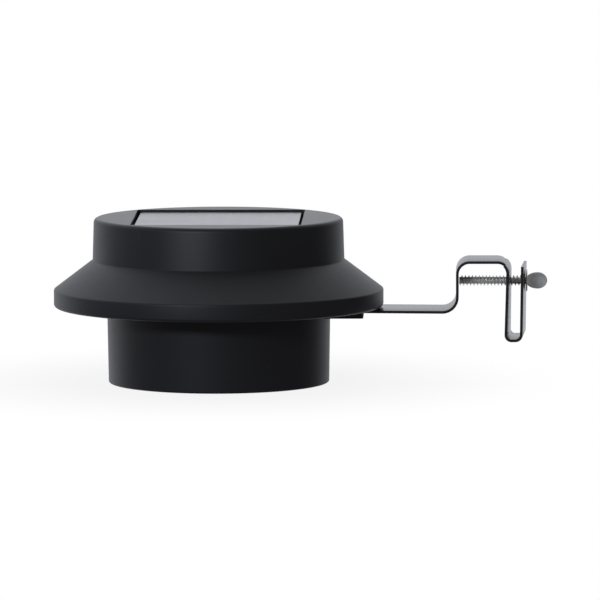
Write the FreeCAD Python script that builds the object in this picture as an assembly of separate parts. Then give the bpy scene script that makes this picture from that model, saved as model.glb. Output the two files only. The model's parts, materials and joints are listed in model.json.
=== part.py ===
import FreeCAD
import Part
import math
import os
from FreeCAD import Vector

# Solar fence light: a round lamp on a bent strip clamp with a thumb screw.
# Millimetres, +Z up. The origin is on the lamp's axis, in the plane of the foot rim that the
# lamp stands on. The strip clamp runs out along +X and the screw's paddle faces -Y.

# ---- lamp outline, from the foot rim upwards ----
cup_height = 26.6
cup_foot_radius = 38.5
cup_top_radius = 38.95
cup_foot_round = 1.2
cup_neck_round = 0.8
flange_radius = 57.5
flange_height = 6.0
flange_foot_round = 1.1
flange_top_round = 0.9
skirt_height = 10.3
cap_foot_radius = 43.9
cap_top_radius = 43.45
cap_height = 14.7
cap_edge_round = 1.3
skirt_neck_round = 0.5
wall = 2.0

# ---- clearances ----
moulding_gap = 0.2
running_gap = 0.06
thread_gap = 0.05

# ---- solar panel and its recess in the cap ----
panel_side = 57.0
panel_corner = 4.0
panel_thickness = 2.2
panel_gap = 1.0
panel_sunk = 0.7
recess_corner = 0.5
recess_floor = 1.6
pad_thickness = 0.6
pad_margin = 4.0
panel_lead_hole = 3.0

# ---- joint between the cap moulding and the base moulding ----
plate_recess = 0.4
plate_thickness = 2.0
seal_thickness = 1.0
seal_width = 2.1
rib_width = 1.2
rib_height = 2.0
housing_screw_count = 4
boss_radius = 3.2
boss_foot_gap = 1.0
rib_gap = 1.0
boss_turn = 45
screw_shank_radius = 1.25
pilot_gap = 0.5
screw_head_radius = 2.6
screw_head_height = 1.5
housing_screw_length = 8.5

# ---- lens, reflector and light board in the cup ----
lens_radius = 34.6
lens_thickness = 1.6
lens_sunk = 0.8
lens_edge = 0.3
glue_thickness = 0.2
lip_width = 2.8
lip_thickness = 2.0
reflector_skin = 1.2
reflector_height = 8.6
reflector_deck_radius = 23.0
light_board_radius = 21.0
board_thickness = 1.6
light_board_post = 1.4
led_count = 3
led_circle = 10.5
led_radius = 2.5
led_flange_radius = 2.9
led_flange_height = 1.0
led_length = 8.6
led_hole_gap = 0.3
led_nose_round = 2.3
board_screw_circle = 16.5
board_screw_turn = 60
light_board_post_radius = 2.2
board_screw_head_radius = 1.7
board_screw_head_height = 1.1
board_screw_radius = 0.9
board_screw_grip = 0.4

# ---- component tray, battery and control board ----
tray_height = 21.0
tray_thickness = 1.6
tray_post_radius = 3.2
tray_post_count = 3
tray_post_bite = 0.5
tray_post_turn = 90
tray_leg_turn = 30
tray_screw_head_radius = 2.4
tray_screw_head_height = 1.6
tray_screw_length = 6.5
lead_slot_offset = 30.5
lead_slot_radius = 2.2
battery_radius = 7.1
battery_length = 49.2
battery_button_radius = 2.75
battery_button_height = 1.0
battery_offset = -10.0
holder_wall = 1.2
holder_depth = 9.0
contact_thickness = 0.4
contact_gap = 1.2
contact_width = 9.0
control_board_offset = 16.0
control_board_length = 22.0
control_board_width = 34.0
control_board_post = 3.0
control_post_radius = 2.0
chip_length = 5.0
chip_width = 4.0
chip_height = 1.5
coil_radius = 3.0
coil_height = 4.5
capacitor_radius = 2.5
capacitor_height = 7.0
component_margin = 2.0

# ---- push switch under the flange ----
button_radius = 3.0
button_reach = 2.4
button_flange_radius = 3.6
button_flange_height = 0.8
button_round = 0.6
button_travel = 1.2
button_lift = 0.2
stem_radius = 1.0
stem_length = 1.2
switch_side = 9.2
switch_roof_gap = 0.715
switch_height = 3.2
cradle_wall = 1.2
cradle_height = 2.4

# ---- strip clamp ----
strip_width = 22.0
strip_thickness = 0.9
strip_drop = 0.6
strip_start_gap = 1.0
leg_reach = 83.25
hook_rise = 17.14
jaw_pitch = 18.05
clamp_pitch = 5.1
clamp_drop = 28.2
clamp_end_drop = 1.94
arm_bend = 4.7
hook_bend = 3.8
clamp_bend = 1.5
clamp_toe = 2.8
clamp_lean = 0.45

# ---- block that holds the strip under the flange ----
block_inset = 6.9
block_width = 26.0
block_floor = 1.75
block_round = 1.2
block_screw_spacing = 12.0
block_screw_length = 10.0
block_boss_height = 6.0

# ---- clamp screw ----
screw_drop = 7.7
thread_radius = 2.05
tip_gap = 0.2
tip_chamfer = 0.5
washer_radius = 3.8
washer_thickness = 0.5
washer_gap = 0.3
neck_radius = 1.5
neck_length = 0.2
paddle_length = 6.7
paddle_height = 5.8
paddle_thickness = 1.7
paddle_rim = 0.7
paddle_dish = 0.3

# ---- wires inside the housing ----
wire_radius = 0.6
wire_pitch = 2.4
wire_rise = 5.0
wire_inset = 2.5

# ---- heights and radii worked out from the sizes above ----
flange_foot = cup_height
flange_top = flange_foot + flange_height
skirt_top = flange_top + skirt_height
lamp_top = skirt_top + cap_height
plate_foot = flange_foot + plate_recess
plate_top = plate_foot + plate_thickness
seal_top = plate_top + seal_thickness
rim_bore = flange_radius - wall
plate_radius = rim_bore - moulding_gap
ledge_radius = rim_bore - seal_width - 2 * moulding_gap
rib_outer = ledge_radius - moulding_gap
rib_inner = rib_outer - rib_width
housing_screw_circle = rib_inner - rib_gap - boss_radius
boss_foot = plate_top + boss_foot_gap
panel_back = lamp_top - panel_sunk - panel_thickness
recess_depth = panel_sunk + panel_thickness + pad_thickness
recess_side = panel_side + 2 * panel_gap
recess_back = lamp_top - recess_depth - recess_floor

lens_foot = lens_sunk
lens_top = lens_foot + lens_thickness
ledge_height = lens_top + glue_thickness
lip_top = ledge_height + lip_thickness
rebate_radius = lens_radius + moulding_gap
lip_radius = rebate_radius - lip_width
cup_bore_foot = cup_foot_radius - wall
cup_bore_top = cup_top_radius - wall
reflector_rim = cup_bore_foot - moulding_gap
deck_foot = lip_top + reflector_height - reflector_skin
deck_top = lip_top + reflector_height
light_board_foot = deck_top + light_board_post
light_board_top = light_board_foot + board_thickness
tray_post_circle = cup_bore_foot + tray_post_bite - tray_post_radius
tray_top = tray_height + tray_thickness
battery_height = tray_top + holder_wall + battery_radius + running_gap
holder_half_length = battery_length / 2 + battery_button_height + contact_gap + holder_wall
control_board_foot = tray_top + control_board_post
control_board_top = control_board_foot + board_thickness

button_foot = flange_foot - button_reach
button_shoulder = plate_top + button_lift
button_top = button_shoulder + button_flange_height
switch_foot = button_top + button_travel + button_lift
switch_top = switch_foot + switch_height
skirt_slope = skirt_height / (flange_radius - cap_foot_radius)
skirt_skin = wall * math.hypot(1, skirt_slope)
switch_roof = flange_radius - (switch_top + switch_roof_gap + skirt_skin - flange_top) / skirt_slope
switch_offset = switch_side / 2 - min(rib_inner - rib_gap, switch_roof)

arm_top = flange_foot - strip_drop
arm_foot = arm_top - strip_thickness
arm_middle = arm_top - strip_thickness / 2
hook_top = arm_top + hook_rise
hook_middle = hook_top - strip_thickness / 2
clamp_foot = hook_top - clamp_drop
clamp_middle = clamp_foot + strip_thickness / 2
clamp_end = hook_top - clamp_end_drop
inner_leg = leg_reach + jaw_pitch
outer_leg = inner_leg + clamp_pitch
strip_start = cup_top_radius + moulding_gap + strip_start_gap
screw_height = hook_top - screw_drop
screw_tip = leg_reach + strip_thickness / 2 + tip_gap
washer_start = outer_leg + strip_thickness / 2 + washer_gap
washer_end = washer_start + washer_thickness
paddle_start = washer_end + thread_gap + neck_length
block_foot = arm_foot - block_floor
block_reach = flange_radius - block_inset
block_screw_offset = (cup_top_radius + moulding_gap + block_reach) / 2


# ---- helpers ----
def unit(vector):
    return vector * (1.0 / vector.Length)


def rounded_edges(points, radii, closed):
    """Straight runs through the points, each corner replaced by a tangent arc of its radius."""
    count = len(points)
    edges = []
    run_start = None if closed else points[0]
    first_join = None
    corners = range(count) if closed else range(1, count - 1)
    for i in corners:
        corner = points[i]
        back = unit(points[i - 1] - corner)
        ahead = unit(points[(i + 1) % count] - corner)
        radius = radii[i]
        enter = corner
        leave = corner
        if radius > 0:
            half = back.getAngle(ahead) / 2
            reach = radius / math.tan(half)
            enter = corner + back * reach
            leave = corner + ahead * reach
            centre = corner + unit(back + ahead) * (radius / math.sin(half))
            middle = centre + unit(corner - centre) * radius
        if run_start is None:
            first_join = enter
        else:
            edges.append(Part.makeLine(run_start, enter))
        if radius > 0:
            edges.append(Part.Arc(enter, middle, leave).toShape())
        run_start = leave
    edges.append(Part.makeLine(run_start, first_join if closed else points[-1]))
    return edges


def profile(corners):
    """Face in the XZ plane from (x, z) or (x, z, corner radius) points."""
    points = [Vector(c[0], 0, c[1]) for c in corners]
    radii = [c[2] if len(c) > 2 else 0 for c in corners]
    return Part.Face(Part.Wire(rounded_edges(points, radii, True)))


def turned(corners):
    """Solid of revolution about the lamp's axis."""
    return profile(corners).revolve(Vector(0, 0, 0), Vector(0, 0, 1), 360)


def rod(radius, low, high, x=0, y=0):
    """Upright cylinder between two heights."""
    return Part.makeCylinder(radius, high - low, Vector(x, y, low))


def rod_along_x(radius, start, end, height):
    return Part.makeCylinder(radius, end - start, Vector(start, 0, height), Vector(1, 0, 0))


def ring(inner, outer, low, high):
    return rod(outer, low, high).cut(rod(inner, low - 1, high + 1))


def block(x_low, x_high, half_width, low, high):
    """Box between two X values and two heights, centred on Y = 0."""
    return Part.makeBox(x_high - x_low, 2 * half_width, high - low, Vector(x_low, -half_width, low))


def square_plate(side, corner, low, high):
    """Square with rounded corners, centred on the lamp's axis."""
    half = side / 2
    points = [Vector(x, y, low) for x, y in ((-half, -half), (half, -half), (half, half), (-half, half))]
    outline = Part.Wire(rounded_edges(points, [corner] * 4, True))
    return Part.Face(outline).extrude(Vector(0, 0, high - low))


def around(count, radius, start=0):
    """Centres spaced evenly on a circle about the lamp's axis; start is in degrees."""
    for i in range(count):
        angle = math.radians(start + 360 * i / count)
        yield radius * math.cos(angle), radius * math.sin(angle)


def fused(shapes):
    whole = shapes[0].fuse(shapes[1:])
    return whole.removeSplitter()


def countersunk_screw(head_radius, head_height, shank_radius, length):
    """Countersunk screw with its head's face at height 0 and its blunt end upwards."""
    return turned([(0, 0), (head_radius, 0), (shank_radius, head_height), (shank_radius, length),
                   (0, length)])


def cheese_screw(head_radius, head_height, shank_radius, length):
    """Cheese head screw with its seat at height 0, its head above and its shank below."""
    return turned([(0, -length), (shank_radius, -length), (shank_radius, 0),
                   (head_radius, 0), (head_radius, head_height), (0, head_height)])


def wire(points):
    """Insulated wire in straight runs with mitred corners."""
    mitred = 1
    path = Part.makePolygon(points)
    start = Part.Wire(Part.makeCircle(wire_radius, points[0], points[1] - points[0]))
    return path.makePipeShell([start], True, False, mitred)


def wire_pair(route, spread):
    """Two wires on one route, half a pitch either side of it along spread."""
    offset = spread * (wire_pitch / 2)
    return [wire([point + offset for point in route]), wire([point - offset for point in route])]


# ---- lamp housing ----
def skirt_inside(radius, depth):
    """Height at a radius on the skirt's outer cone moved inwards by a depth."""
    return flange_top + (flange_radius - radius) * skirt_slope - depth / wall * skirt_skin


def cap_outside():
    return turned([(0, flange_foot), (flange_radius, flange_foot, flange_foot_round),
                   (flange_radius, flange_top, flange_top_round),
                   (cap_foot_radius, skirt_top, skirt_neck_round),
                   (cap_top_radius, lamp_top, cap_edge_round), (0, lamp_top)])


def cap_inside(depth):
    """Space under the cap's skin, a set depth in from its outer faces."""
    bore_foot = cap_foot_radius - depth
    return turned([(0, flange_foot - 1), (rim_bore, flange_foot - 1), (rim_bore, seal_top),
                   (ledge_radius, seal_top), (ledge_radius, skirt_inside(ledge_radius, depth)),
                   (bore_foot, skirt_inside(bore_foot, depth)),
                   (cap_top_radius - depth, lamp_top - depth), (0, lamp_top - depth)])


def make_top_housing():
    """Cap, skirt and flange in one moulding, with the panel's recess and four screw bosses."""
    shell = cap_outside().cut(cap_inside(wall))
    well = square_plate(recess_side + 2 * wall, recess_corner, recess_back, lamp_top)
    bosses = [rod(boss_radius, boss_foot, skirt_top, x, y)
              for x, y in around(housing_screw_count, housing_screw_circle, boss_turn)]
    middle = cap_inside(wall / 2)
    housing = fused([shell] + [form.common(middle) for form in [well] + bosses])
    housing = housing.cut(square_plate(recess_side, recess_corner, lamp_top - recess_depth, lamp_top + 1))
    housing = housing.cut(rod(panel_lead_hole, recess_back - 1, lamp_top))
    pilot_top = plate_foot + housing_screw_length + pilot_gap
    for x, y in around(housing_screw_count, housing_screw_circle, boss_turn):
        housing = housing.cut(rod(screw_shank_radius + thread_gap, boss_foot - 1, pilot_top, x, y))
    return housing


def make_solar_panel():
    return square_plate(panel_side, panel_corner, panel_back, panel_back + panel_thickness)


def make_panel_pad():
    pad = square_plate(panel_side - 2 * pad_margin, panel_corner, panel_back - pad_thickness, panel_back)
    return pad.cut(rod(panel_lead_hole, recess_back, panel_back + 1))


def make_lower_housing():
    """Cup, lens lip and closing plate in one moulding, with its posts, bosses and switch cradle."""
    shell = turned([(rebate_radius, 0), (cup_foot_radius, 0, cup_foot_round),
                    (cup_top_radius, plate_foot, cup_neck_round), (plate_radius, plate_foot),
                    (plate_radius, plate_top), (rib_outer, plate_top), (rib_outer, plate_top + rib_height),
                    (rib_inner, plate_top + rib_height), (rib_inner, plate_top),
                    (cup_bore_top, plate_top), (cup_bore_foot, lip_top), (lip_radius, lip_top),
                    (lip_radius, ledge_height), (rebate_radius, ledge_height)])
    forms = [shell]
    forms += [rod(tray_post_radius, ledge_height + lip_thickness / 2, tray_height, x, y)
              for x, y in around(tray_post_count, tray_post_circle, tray_post_turn)]
    forms += [rod(boss_radius, plate_foot, boss_foot, x, y)
              for x, y in around(housing_screw_count, housing_screw_circle, boss_turn)]
    forms += [rod(boss_radius, plate_foot, plate_top + block_boss_height, block_screw_offset, side)
              for side in (-block_screw_spacing / 2, block_screw_spacing / 2)]
    seat = block(cup_foot_radius - 2 * wall, block_reach, block_width / 2, arm_top, plate_top)
    seat = seat.cut(rod(cup_top_radius - wall / 2, arm_top - 1, plate_top + 1))
    forms += [seat] + switch_cradle()
    housing = fused(forms)
    for cutter in lower_housing_holes():
        housing = housing.cut(cutter)
    return housing


def switch_cradle():
    """Two stepped cheeks that the push switch stands on and is held between."""
    cheeks = []
    ledge = button_flange_radius + moulding_gap
    face = switch_side / 2 + moulding_gap / 2
    for side in (-1, 1):
        steps = ((ledge, face, switch_foot), (face, face + cradle_wall, switch_foot + cradle_height))
        for near, far, top in steps:
            low = min(side * near, side * far)
            cheeks.append(Part.makeBox(switch_side, far - near, top - plate_foot,
                                       Vector(switch_offset - switch_side / 2, low, plate_foot)))
    return cheeks


def lower_housing_holes():
    cutters = [rod(button_radius + running_gap, arm_top - 1, button_shoulder, switch_offset)]
    countersink = countersunk_screw(screw_head_radius + thread_gap, screw_head_height,
                                    screw_shank_radius + thread_gap, housing_screw_length)
    for x, y in around(housing_screw_count, housing_screw_circle, boss_turn):
        cutters.append(countersink.translated(Vector(x, y, plate_foot)))
    for side in (-block_screw_spacing / 2, block_screw_spacing / 2):
        cutters.append(rod(screw_shank_radius + thread_gap, arm_top - 1,
                           block_foot + block_screw_length + pilot_gap, block_screw_offset, side))
    for x, y in around(tray_post_count, tray_post_circle, tray_post_turn):
        cutters.append(rod(screw_shank_radius + thread_gap, tray_top - tray_screw_length - pilot_gap,
                           tray_height + 1, x, y))
    return cutters


def make_housing_seal():
    return ring(ledge_radius + moulding_gap, ledge_radius + moulding_gap + seal_width, plate_top, seal_top)


def make_housing_screws():
    screw = countersunk_screw(screw_head_radius, screw_head_height, screw_shank_radius, housing_screw_length)
    return Part.makeCompound([screw.translated(Vector(x, y, plate_foot))
                              for x, y in around(housing_screw_count, housing_screw_circle, boss_turn)])


# ---- light unit ----
def make_lens():
    return turned([(0, lens_foot), (lens_radius - lens_edge, lens_foot), (lens_radius, lens_foot + lens_edge),
                   (lens_radius, lens_top), (0, lens_top)])


def make_lens_gasket():
    return ring(lip_radius + moulding_gap, lens_radius, lens_top, ledge_height)


def make_reflector():
    """White dish from the lens lip up to a flat deck, with a hole for each light and board posts."""
    skin = reflector_skin
    dish = turned([(0, deck_foot), (reflector_deck_radius, deck_foot), (lip_radius, lip_top),
                   (reflector_rim, lip_top), (reflector_rim, lip_top + skin),
                   (lip_radius + skin, lip_top + skin), (reflector_deck_radius + skin, deck_top),
                   (0, deck_top)])
    posts = [rod(light_board_post_radius, deck_foot, light_board_foot, x, y)
             for x, y in around(led_count, board_screw_circle, board_screw_turn)]
    dish = fused([dish] + posts)
    for x, y in around(led_count, led_circle):
        dish = dish.cut(rod(led_radius + led_hole_gap, deck_foot - 1, deck_top + 1, x, y))
    for x, y in around(led_count, board_screw_circle, board_screw_turn):
        dish = dish.cut(rod(board_screw_radius + thread_gap, deck_top - board_screw_grip - thread_gap,
                            light_board_foot + 1, x, y))
    for x, y in around(tray_post_count, tray_post_circle, tray_post_turn):
        dish = dish.cut(rod(tray_post_radius + moulding_gap, lip_top - 1, deck_foot, x, y))
    return dish


def make_light_board():
    board = rod(light_board_radius, light_board_foot, light_board_top)
    for x, y in around(led_count, board_screw_circle, board_screw_turn):
        board = board.cut(rod(board_screw_radius + thread_gap, light_board_foot - 1,
                              light_board_top + 1, x, y))
    return board


def make_leds():
    """Round-nosed lights hanging from the board through the reflector's holes."""
    flange_foot_height = light_board_foot - led_flange_height
    nose = light_board_foot - led_length
    shape = turned([(0, light_board_foot), (led_flange_radius, light_board_foot),
                    (led_flange_radius, flange_foot_height), (led_radius, flange_foot_height),
                    (led_radius, nose, led_nose_round), (0, nose)])
    return Part.makeCompound([shape.translated(Vector(x, y, 0)) for x, y in around(led_count, led_circle)])


def make_light_board_screws():
    screw = cheese_screw(board_screw_head_radius, board_screw_head_height, board_screw_radius,
                         board_thickness + light_board_post + board_screw_grip)
    return Part.makeCompound([screw.translated(Vector(x, y, light_board_top))
                              for x, y in around(led_count, board_screw_circle, board_screw_turn)])


# ---- component tray, battery and control board ----
def make_component_tray():
    """Round tray on the cup's posts; its legs press the reflector on to the lens lip."""
    rim_start = lip_radius + reflector_skin
    leg_circle = (rim_start + reflector_rim) / 2
    leg_radius = (reflector_rim - rim_start) / 2 - thread_gap
    tray = rod(reflector_rim, tray_height, tray_top)
    legs = [rod(leg_radius, lip_top + reflector_skin, tray_top, x, y)
            for x, y in around(tray_post_count, leg_circle, tray_leg_turn)]
    posts = [rod(control_post_radius, tray_height, control_board_foot, x, y)
             for x, y in control_board_corners()]
    tray = fused([tray] + legs + posts)
    for x, y in around(tray_post_count, tray_post_circle, tray_post_turn):
        tray = tray.cut(rod(screw_shank_radius + thread_gap, tray_height - 1, tray_top + 1, x, y))
    for x, y in control_board_corners():
        tray = tray.cut(rod(board_screw_radius + thread_gap, tray_top, control_board_foot + 1, x, y))
    return tray.cut(rod(lead_slot_radius, tray_height - 1, tray_top + 1, lead_slot_offset))


def make_tray_screws():
    screw = cheese_screw(tray_screw_head_radius, tray_screw_head_height, screw_shank_radius,
                         tray_screw_length)
    return Part.makeCompound([screw.translated(Vector(x, y, tray_top))
                              for x, y in around(tray_post_count, tray_post_circle, tray_post_turn)])


def control_board_corners():
    """Two opposite corners, where the board is screwed down."""
    x = control_board_length / 2 - control_post_radius
    y = control_board_width / 2 - control_post_radius
    return [(control_board_offset - x, -y), (control_board_offset + x, y)]


def make_control_board():
    half = control_board_length / 2
    board = block(control_board_offset - half, control_board_offset + half, control_board_width / 2,
                  control_board_foot, control_board_top)
    for x, y in control_board_corners():
        board = board.cut(rod(board_screw_radius + thread_gap, control_board_foot - 1,
                              control_board_top + 1, x, y))
    return board


def make_control_components():
    """Driver chip, drum coil and capacitor standing on the control board."""
    near = control_board_offset - control_board_length / 2 + component_margin
    far = control_board_width / 2 - component_margin
    chip_corner = Vector(control_board_offset + component_margin, chip_length - far, control_board_top)
    chip = Part.makeBox(chip_width, chip_length, chip_height, chip_corner)
    coil = rod(coil_radius, control_board_top, control_board_top + coil_height,
               control_board_offset + coil_radius, coil_radius)
    capacitor = rod(capacitor_radius, control_board_top, control_board_top + capacitor_height,
                    near + capacitor_radius, far - capacitor_radius)
    return Part.makeCompound([chip, coil, capacitor])


def make_control_board_screws():
    screw = cheese_screw(board_screw_head_radius, board_screw_head_height, board_screw_radius,
                         board_thickness + control_board_post - board_screw_grip)
    return Part.makeCompound([screw.translated(Vector(x, y, control_board_top))
                              for x, y in control_board_corners()])


def make_battery():
    """Rechargeable cell lying along Y, its button at the +Y end."""
    foot = Vector(battery_offset, -battery_length / 2, battery_height)
    cell = Part.makeCylinder(battery_radius, battery_length, foot, Vector(0, 1, 0))
    button = Part.makeCylinder(battery_button_radius, battery_length + battery_button_height, foot,
                               Vector(0, 1, 0))
    return fused([cell, button])


def make_battery_holder():
    """Open trough with a rounded bed for the cell and a slot at each end for its contact."""
    half_width = battery_radius + running_gap + holder_wall
    top = tray_top + holder_depth
    length = 2 * holder_half_length
    body = Part.makeBox(2 * half_width, length, top - tray_top,
                        Vector(battery_offset - half_width, -holder_half_length, tray_top))
    inner = length - 2 * holder_wall
    bed = Part.makeCylinder(battery_radius + running_gap, inner,
                            Vector(battery_offset, -inner / 2, battery_height), Vector(0, 1, 0))
    mouth = Part.makeBox(2 * (battery_radius + running_gap), inner, top,
                         Vector(battery_offset - battery_radius - running_gap, -inner / 2, battery_height))
    return body.cut(bed).cut(mouth)


def make_battery_contacts():
    """A flat plate at the button end and a bowed leaf spring at the other."""
    face = holder_half_length - holder_wall
    half = contact_width / 2
    low = battery_height - half
    high = battery_height + half
    plate = Part.makeBox(2 * half, contact_thickness, high - low,
                         Vector(battery_offset - half, face - contact_thickness, low))
    bow = face - contact_thickness / 2 - battery_length / 2
    outer = [Vector(0, -face, low), Vector(0, -face, high)]
    crown = -face + bow
    outside = Part.Arc(outer[0], Vector(0, crown, battery_height), outer[1]).toShape()
    inner_crown = crown - contact_thickness
    inside = Part.Arc(Vector(0, -face, high - contact_thickness * 2), Vector(0, inner_crown, battery_height),
                      Vector(0, -face, low + contact_thickness * 2)).toShape()
    ends = [Part.makeLine(outside.Vertexes[-1].Point, inside.Vertexes[0].Point),
            Part.makeLine(inside.Vertexes[-1].Point, outside.Vertexes[0].Point)]
    spring = Part.Face(Part.Wire([outside, ends[0], inside, ends[1]])).extrude(Vector(2 * half, 0, 0))
    return Part.makeCompound([plate, spring.translated(Vector(battery_offset - half, 0, 0))])


# ---- push switch ----
def make_switch_button():
    """Round push button with a retaining flange and the stem that works the switch."""
    button = turned([(0, button_foot), (button_radius, button_foot, button_round),
                     (button_radius, button_shoulder), (button_flange_radius, button_shoulder),
                     (button_flange_radius, button_top), (stem_radius, button_top),
                     (stem_radius, switch_foot + stem_length), (0, switch_foot + stem_length)])
    return button.translated(Vector(switch_offset, 0, 0))


def make_switch_body():
    half = switch_side / 2
    body = block(switch_offset - half, switch_offset + half, half, switch_foot, switch_top)
    depth = stem_length + button_travel + button_lift
    return body.cut(rod(stem_radius + running_gap, switch_foot - 1, switch_foot + depth, switch_offset))


# ---- strip clamp ----
def bent_strip(corners, thickness):
    """Side outline of a bent strip: its middle line's (x, z, inside bend radius) offset both ways."""
    points = [Vector(x, 0, z) for x, z, bend in corners]
    sides = []
    for side in (-1, 1):
        offset_points = []
        offset_radii = []
        for i, point in enumerate(points):
            back = unit(point - points[i - 1]) if i > 0 else unit(points[1] - point)
            ahead = unit(points[i + 1] - point) if i < len(points) - 1 else back
            normal = Vector(-back.z, 0, back.x) + Vector(-ahead.z, 0, ahead.x)
            shift = unit(normal) * (thickness / math.sqrt(2 * (1 + back.dot(ahead))))
            offset_points.append(point + shift * side)
            turn = back.x * ahead.z - back.z * ahead.x
            outer = turn * side < 0
            offset_radii.append(corners[i][2] + (thickness if outer else 0))
        sides.append((offset_points, offset_radii))
    near = rounded_edges(sides[0][0], sides[0][1], False)
    far = rounded_edges(sides[1][0], sides[1][1], False)
    caps = [Part.makeLine(sides[0][0][0], sides[1][0][0]), Part.makeLine(sides[0][0][-1], sides[1][0][-1])]
    return Part.Face(Part.Wire(Part.__sortEdges__(near + far + caps)))


def make_bracket_strip():
    """Arm, hook and narrow U in one strip. The U leans a little and is folded out of square."""
    half = strip_width / 2
    toe = math.tan(math.radians(clamp_toe))
    join = leg_reach + jaw_pitch / 2
    arm = bent_strip([(strip_start, arm_middle, 0), (leg_reach, arm_middle, arm_bend),
                      (leg_reach, hook_middle, hook_bend), (join + 1, hook_middle, 0)], strip_thickness)
    arm = arm.translated(Vector(0, -half, 0)).extrude(Vector(0, strip_width, 0))
    clamp = bent_strip([(join, hook_middle, 0), (inner_leg, hook_middle, hook_bend),
                        (inner_leg - clamp_lean, clamp_middle, clamp_bend),
                        (outer_leg - clamp_lean, clamp_middle, clamp_bend),
                        (outer_leg, clamp_end, 0)], strip_thickness)
    clamp = clamp.translated(Vector(-half * toe, -half, 0)).extrude(Vector(strip_width * toe, strip_width, 0))
    strip = fused([arm, clamp])
    middle = (leg_reach + inner_leg) / 2
    strip = strip.cut(rod_along_x(thread_radius + running_gap, middle, outer_leg + 3, screw_height))
    for side in (-block_screw_spacing / 2, block_screw_spacing / 2):
        strip = strip.cut(rod(screw_shank_radius + moulding_gap, arm_foot - 1, arm_top + 1,
                              block_screw_offset, side))
    return strip


def make_bracket_block():
    """Channel that holds the strip against the flange's seat, hollowed to the cup's wall."""
    low = cup_foot_radius - 2 * wall
    body = block(low, block_reach, block_width / 2, block_foot, arm_top)
    outer_corners = [e for e in body.Edges if e.BoundBox.XLength < 0.01 and e.BoundBox.YLength < 0.01
                     and e.BoundBox.XMin > block_reach - 0.01]
    body = body.makeFillet(block_round, outer_corners)
    body = body.cut(rod(cup_top_radius + moulding_gap, block_foot - 1, arm_top + 1))
    body = body.cut(block(low - 1, block_reach + 1, strip_width / 2 + moulding_gap, arm_foot, arm_top + 1))
    countersink = countersunk_screw(screw_head_radius + thread_gap, screw_head_height,
                                    screw_shank_radius + thread_gap, block_screw_length)
    for side in (-block_screw_spacing / 2, block_screw_spacing / 2):
        body = body.cut(countersink.translated(Vector(block_screw_offset, side, block_foot)))
    return body


def make_bracket_screws():
    screw = countersunk_screw(screw_head_radius, screw_head_height, screw_shank_radius, block_screw_length)
    return Part.makeCompound([screw.translated(Vector(block_screw_offset, side, block_foot))
                              for side in (-block_screw_spacing / 2, block_screw_spacing / 2)])


# ---- clamp screw ----
def make_clamp_screw():
    """Threaded shaft, washer neck and oval thumb paddle with a dished field on each face."""
    shaft = rod_along_x(thread_radius, screw_tip, washer_start - thread_gap, screw_height)
    tip_edge = [e for e in shaft.Edges if abs(e.BoundBox.XMax - screw_tip) < 0.01]
    shaft = shaft.makeChamfer(tip_chamfer, tip_edge)
    neck = rod_along_x(neck_radius, washer_start - 1, paddle_start + paddle_rim, screw_height)
    centre = paddle_start + paddle_length / 2
    paddle = oval_plate(centre, paddle_length / 2, paddle_height / 2, paddle_thickness)
    screw = fused([shaft, neck, paddle])
    for side in (-1, 1):
        field = oval_plate(centre, paddle_length / 2 - paddle_rim, paddle_height / 2 - paddle_rim,
                           2 * paddle_dish)
        screw = screw.cut(field.translated(Vector(0, side * paddle_thickness / 2, 0)))
    return screw


def oval_plate(centre, half_length, half_height, thickness):
    """Oval in the XZ plane at the screw's height, extruded evenly about Y = 0."""
    middle = Vector(centre, -thickness / 2, screw_height)
    oval = Part.Ellipse(middle + Vector(half_length, 0, 0), middle + Vector(0, 0, half_height), middle)
    return Part.Face(Part.Wire(oval.toShape())).extrude(Vector(0, thickness, 0))


def make_screw_washer():
    washer = rod_along_x(washer_radius, washer_start, washer_end, screw_height)
    return washer.cut(rod_along_x(neck_radius + running_gap, washer_start - 1, washer_end + 1, screw_height))


# ---- wires ----
def make_panel_leads():
    """From the panel's back, through the recess's hole, down to the control board."""
    x = control_board_offset - control_board_length / 4
    low = control_board_top
    high = recess_back - wire_rise
    route = [Vector(0, 0, panel_back), Vector(0, 0, high), Vector(x, 0, high - wire_rise), Vector(x, 0, low)]
    return Part.makeCompound(wire_pair(route, Vector(0, 1, 0)))


def make_battery_leads():
    """From the holder's side, out and down to the control board, one near each end."""
    x = control_board_offset - control_board_length / 2 + wire_inset
    start = battery_offset + battery_radius + running_gap + holder_wall
    height = control_board_top + wire_rise / 2
    leads = []
    for side in (-1, 1):
        y = side * control_board_width / 4
        leads.append(wire([Vector(start, y, height), Vector(x, y, height), Vector(x, y, control_board_top)]))
    return Part.makeCompound(leads)


def make_light_leads():
    """From the light board, out through the tray's hole, back on to the control board."""
    x = light_board_radius - wire_rise
    above = (light_board_top + tray_height) / 2
    crest = control_board_top + wire_rise
    landing = control_board_offset + control_board_length / 2 - wire_inset
    route = [Vector(x, 0, light_board_top), Vector(x, 0, above), Vector(lead_slot_offset, 0, above),
             Vector(lead_slot_offset, 0, crest), Vector(landing, 0, crest),
             Vector(landing, 0, control_board_top)]
    return Part.makeCompound(wire_pair(route, Vector(0, 1, 0)))


def make_switch_leads():
    """From the push switch, over the battery, to the control board."""
    start = switch_offset + switch_side / 2
    crest = battery_height + battery_radius + wire_rise
    holder_side = battery_offset - battery_radius - holder_wall
    landing = control_board_offset - control_board_length / 4
    aside = -control_board_width / 4
    height = switch_foot + switch_height / 2
    route = [Vector(start, 0, height), Vector(start + wire_rise, 0, height),
             Vector(holder_side, aside, crest), Vector(landing, aside, crest),
             Vector(landing, aside, control_board_top)]
    return Part.makeCompound(wire_pair(route, Vector(0, 1, 0)))


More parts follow.
